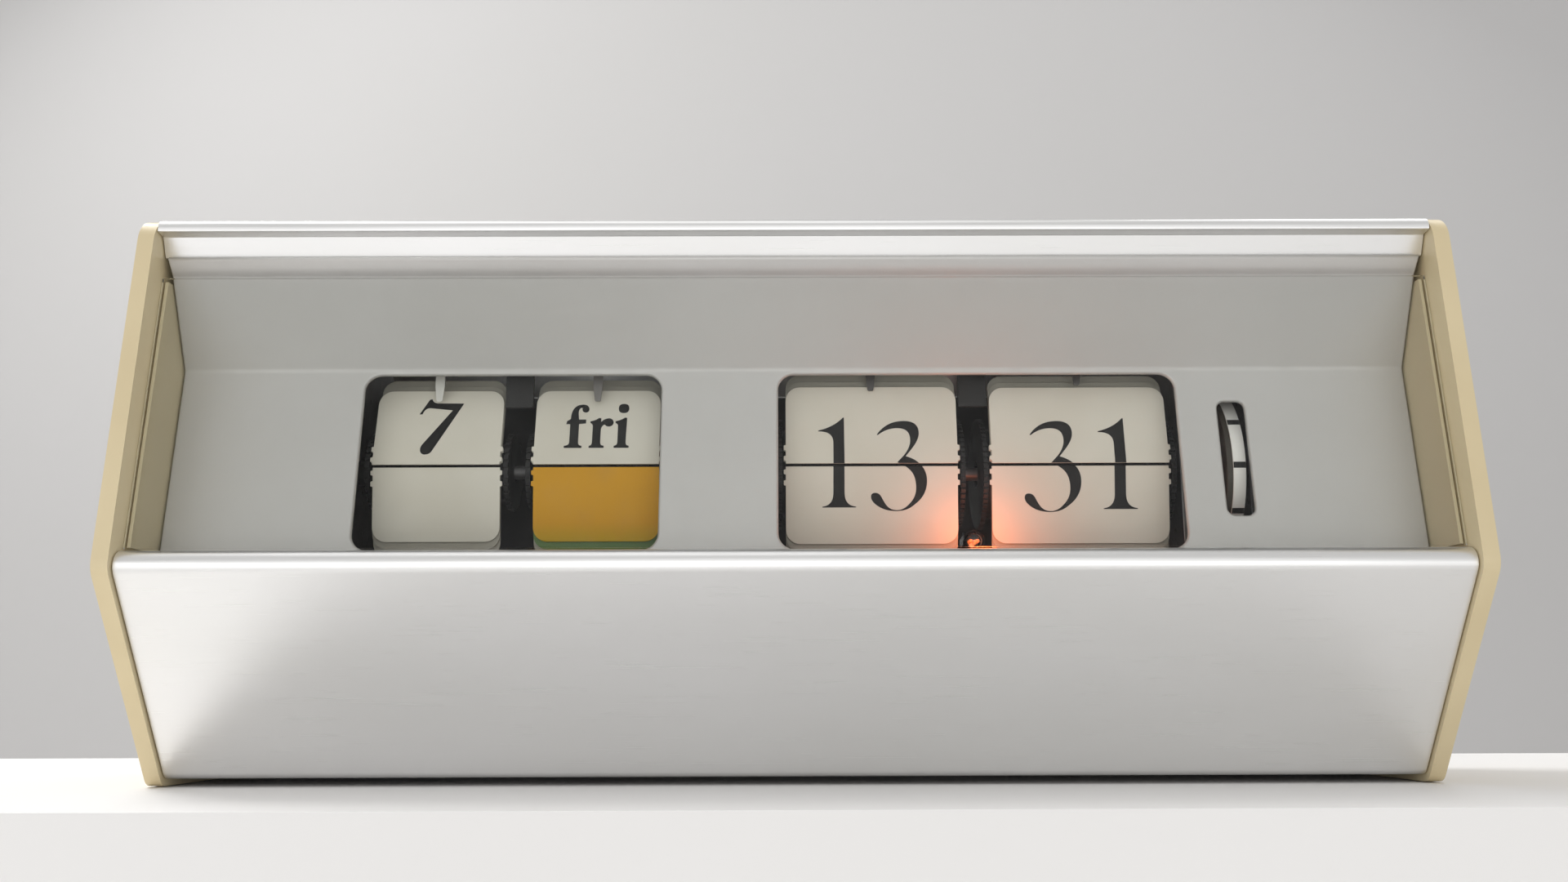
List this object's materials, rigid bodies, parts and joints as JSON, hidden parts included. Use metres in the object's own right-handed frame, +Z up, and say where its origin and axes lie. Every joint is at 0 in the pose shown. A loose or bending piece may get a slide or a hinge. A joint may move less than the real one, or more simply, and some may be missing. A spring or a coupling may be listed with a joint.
{
  "type": "flip number clock",
  "caption": "Desk clock with falling cards for date, day, hour and minute behind two windows, a seconds drum, and an aluminium case between moulded end caps.",
  "frame": {"origin": "middle of the footprint, on the surface that the clock stands on", "axes": "front faces -Y, +X to the right seen from the front, +Z up"},
  "size_m": [0.286, 0.0964, 0.1156],
  "materials": {
    "aluminium": "satin anodised, brushed along the case",
    "cream_plastic": "cream moulded plastic, satin",
    "taupe_plastic": "matt taupe moulding",
    "panel_silver": "fine silver-grey metallic paint",
    "acrylic": "clear acrylic",
    "dark_plastic": "black moulded plastic",
    "card": "off-white printed card leaves",
    "steel": "zinc-plated sheet and turned steel",
    "brass": "cut brass wheels",
    "seconds_white": "white plastic with black marks",
    "lamp": "glowing neon lamp"
  },
  "bodies": {
    "case_and_frame": {"lower_shell": "aluminium", "top_shell": "aluminium", "left_end_cap": "cream_plastic", "right_end_cap": "cream_plastic", "left_side_liner": "taupe_plastic", "right_side_liner": "taupe_plastic", "face_panel": "panel_silver", "clear_window": "acrylic", "rear_cover": "dark_plastic", "cable_gland": "dark_plastic", "rear_screw_1": "steel", "rear_screw_2": "steel", "rear_screw_3": "steel", "rear_screw_4": "steel", "chassis_plate": "steel", "calendar_left_plate": "steel", "calendar_right_plate": "steel", "time_left_plate": "steel", "time_right_plate": "steel", "gearbox_plate": "steel", "motor_plate": "steel", "calendar_finger_rail": "dark_plastic", "time_finger_rail": "dark_plastic", "date_finger": "dark_plastic", "day_finger": "dark_plastic", "hour_finger": "dark_plastic", "minute_finger": "dark_plastic", "date_upper_leaves": "card", "day_upper_leaves": "card", "hour_upper_leaves": "card", "minute_upper_leaves": "card", "date_lower_leaves": "card", "day_lower_leaves": "card", "hour_lower_leaves": "card", "minute_lower_leaves": "card", "synchronous_motor": "steel", "neon_lamp": "lamp", "lamp_holder": "dark_plastic"},
    "minute_train": {"main_axle": "steel", "cannon_pinion": "brass", "minute_drum": "dark_plastic", "minute_wheel": "brass"},
    "hour_display": {"hour_drum": "dark_plastic", "hour_wheel": "brass"},
    "motion_work": {"motion_work_arbor": "brass"},
    "third_wheel": {"third_arbor": "brass"},
    "second_wheel": {"second_arbor": "brass"},
    "seconds_display": {"seconds_arbor": "brass", "seconds_drum": "seconds_white"},
    "time_setting": {"setting_arbor": "brass", "time_set_knob": "dark_plastic"},
    "date_display": {"date_drum": "dark_plastic", "date_knob": "dark_plastic"},
    "day_display": {"day_drum": "dark_plastic", "day_knob": "dark_plastic", "calendar_axle": "steel"},
    "date_leaf": {"date_falling_leaf": "card"},
    "day_leaf": {"day_falling_leaf": "card"},
    "hour_leaf": {"hour_falling_leaf": "card"},
    "minute_leaf": {"minute_falling_leaf": "card"}
  },
  "joints": [
    {"name": "minute_spin", "type": "hinge", "parent": "case_and_frame", "child": "minute_train", "pos_m": [0.0616, -0.0093, 0.0664], "axis": [1, 0, 0], "continuous": true},
    {"name": "hour_spin", "type": "hinge", "parent": "case_and_frame", "child": "hour_display", "pos_m": [0.01685, -0.0093, 0.0664], "axis": [1, 0, 0], "continuous": true},
    {"name": "motion_work_spin", "type": "hinge", "parent": "case_and_frame", "child": "motion_work", "pos_m": [-0.0086, 0.00272, 0.07842], "axis": [1, 0, 0], "continuous": true},
    {"name": "third_wheel_spin", "type": "hinge", "parent": "case_and_frame", "child": "third_wheel", "pos_m": [0.0867, -0.00405, 0.07549], "axis": [1, 0, 0], "continuous": true},
    {"name": "second_wheel_spin", "type": "hinge", "parent": "case_and_frame", "child": "second_wheel", "pos_m": [0.088, 0.00851, 0.06877], "axis": [1, 0, 0], "continuous": true},
    {"name": "seconds_spin", "type": "hinge", "parent": "case_and_frame", "child": "seconds_display", "pos_m": [0.0933, -0.0063, 0.0664], "axis": [1, 0, 0], "continuous": true},
    {"name": "time_setting_spin", "type": "hinge", "parent": "case_and_frame", "child": "time_setting", "pos_m": [0.139, -0.0093, 0.0444], "axis": [1, 0, 0], "continuous": true},
    {"name": "date_spin", "type": "hinge", "parent": "case_and_frame", "child": "date_display", "pos_m": [-0.0765, -0.013, 0.0664], "axis": [1, 0, 0], "continuous": true},
    {"name": "day_spin", "type": "hinge", "parent": "case_and_frame", "child": "day_display", "pos_m": [-0.04265, -0.013, 0.0664], "axis": [1, 0, 0], "continuous": true},
    {"name": "date_leaf_fall", "type": "hinge", "parent": "case_and_frame", "child": "date_leaf", "pos_m": [-0.0766, -0.022, 0.0664], "axis": [1, 0, 0], "range_deg": [0, 185]},
    {"name": "day_leaf_fall", "type": "hinge", "parent": "case_and_frame", "child": "day_leaf", "pos_m": [-0.04245, -0.022, 0.0664], "axis": [1, 0, 0], "range_deg": [0, 185]},
    {"name": "hour_leaf_fall", "type": "hinge", "parent": "case_and_frame", "child": "hour_leaf", "pos_m": [0.0165, -0.022, 0.0664], "axis": [1, 0, 0], "range_deg": [0, 185]},
    {"name": "minute_leaf_fall", "type": "hinge", "parent": "case_and_frame", "child": "minute_leaf", "pos_m": [0.06115, -0.022, 0.0664], "axis": [1, 0, 0], "range_deg": [0, 185]}
  ],
  "couplings": [
    {"joint": "motion_work_spin", "follows": "minute_spin", "ratio": -0.2},
    {"joint": "hour_spin", "follows": "minute_spin", "ratio": 0.041667},
    {"joint": "third_wheel_spin", "follows": "minute_spin", "ratio": -3.2},
    {"joint": "second_wheel_spin", "follows": "minute_spin", "ratio": 12},
    {"joint": "seconds_spin", "follows": "minute_spin", "ratio": -60},
    {"joint": "time_setting_spin", "follows": "minute_spin", "ratio": -0.57143}
  ]
}
